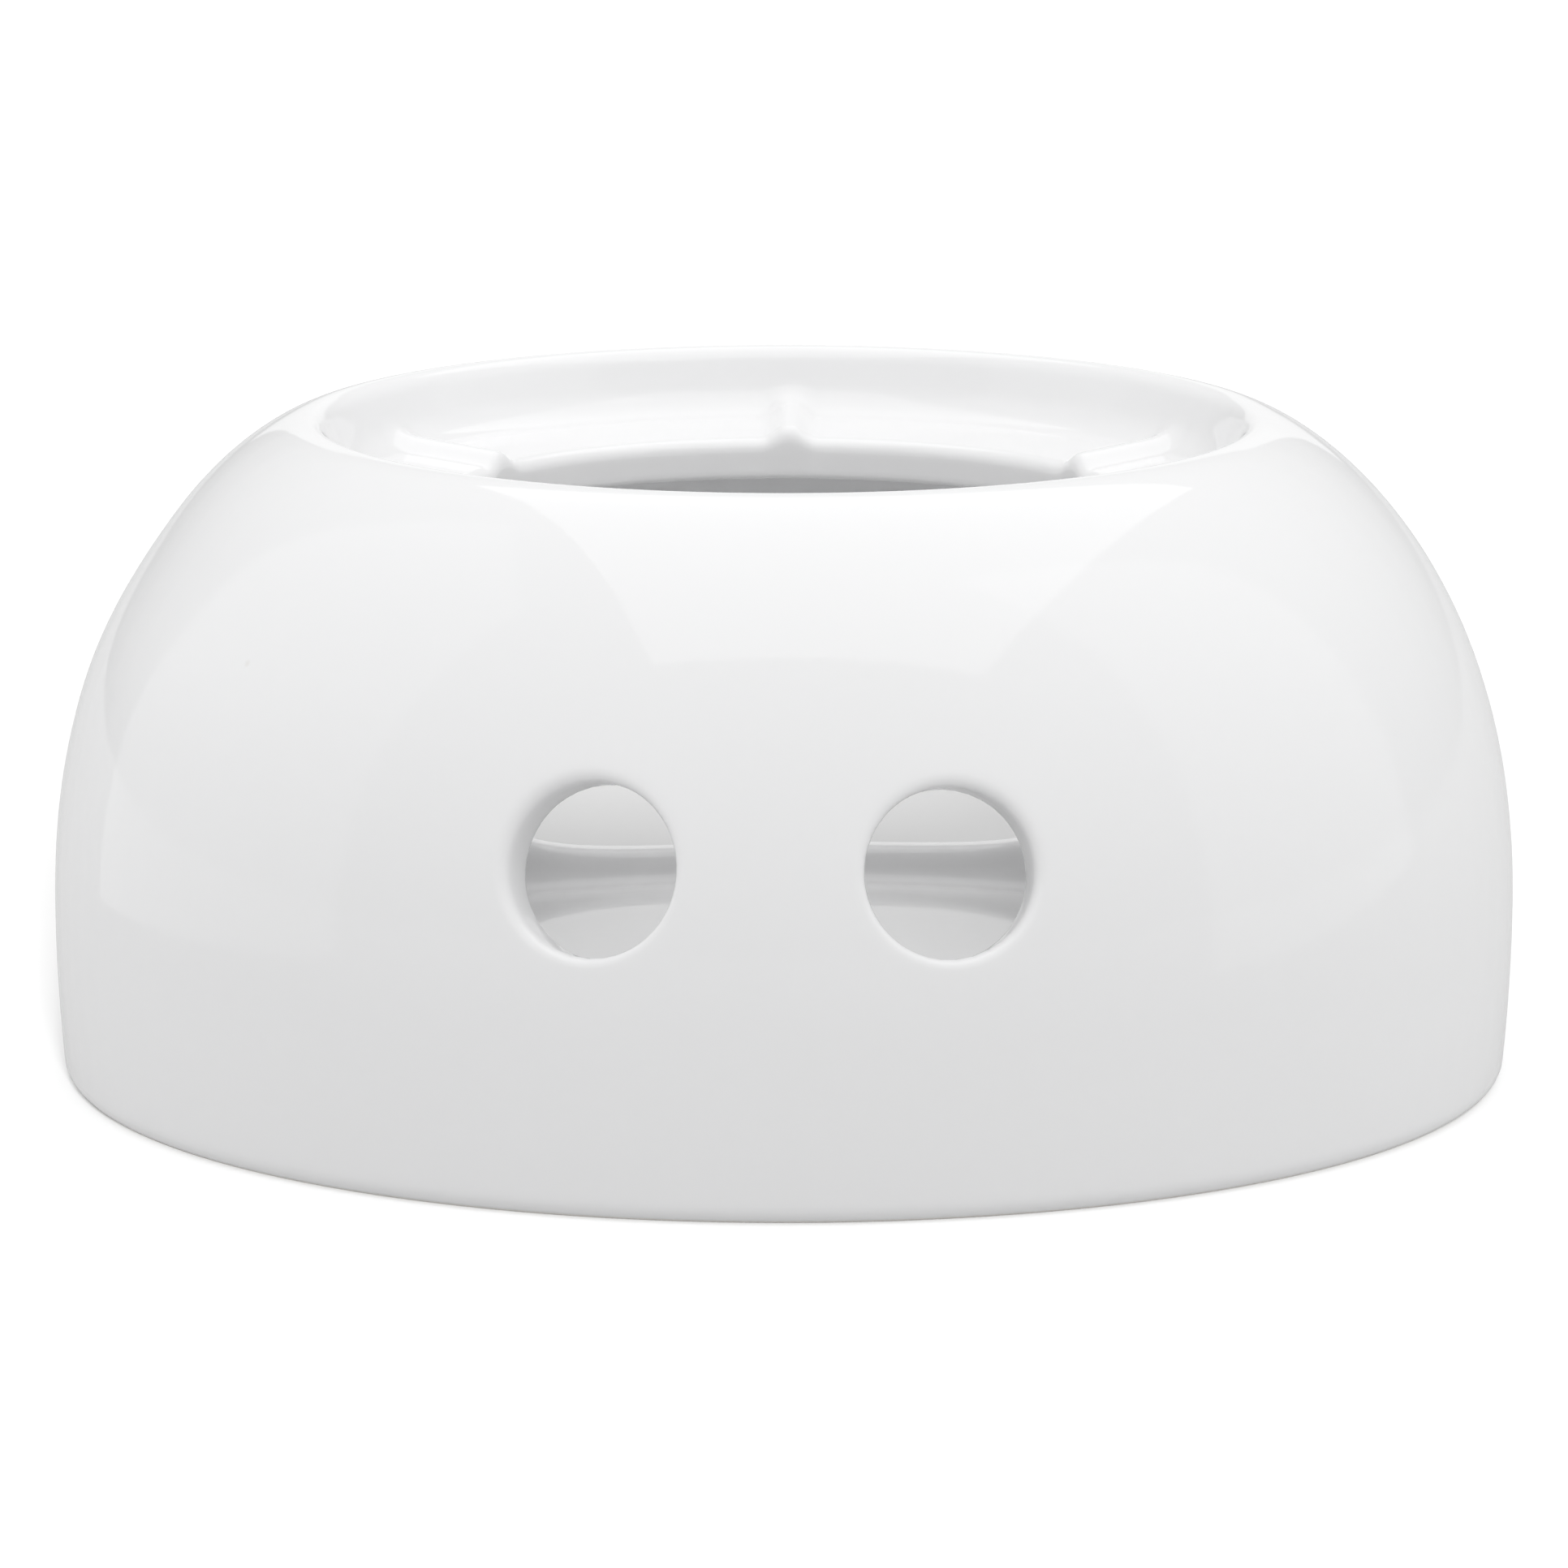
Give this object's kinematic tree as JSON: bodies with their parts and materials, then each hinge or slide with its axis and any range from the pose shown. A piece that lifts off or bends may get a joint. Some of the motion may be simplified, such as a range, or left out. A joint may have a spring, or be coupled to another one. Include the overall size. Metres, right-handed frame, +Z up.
{
  "type": "teapot warmer",
  "caption": "Low round porcelain teapot warmer: a domed shell with a ribbed sunk seat for the pot on top, round air holes in front and a wide opening behind for a tealight.",
  "frame": {"origin": "centre of the foot, on the surface that the warmer stands on", "axes": "+Z up along the axis of the round form, -Y out of the front between the air holes, +Y out of the back opening"},
  "size_m": [0.152, 0.1516, 0.0685],
  "materials": {
    "glazed_porcelain": "clear gloss glaze over white porcelain"
  },
  "bodies": {
    "root": {"dome_shell": "glazed_porcelain", "floor_disc": "glazed_porcelain", "seat_ring": "glazed_porcelain", "support_rib_1": "glazed_porcelain", "support_rib_2": "glazed_porcelain", "support_rib_3": "glazed_porcelain", "support_rib_4": "glazed_porcelain", "support_rib_5": "glazed_porcelain", "support_rib_6": "glazed_porcelain"}
  },
  "joints": []
}
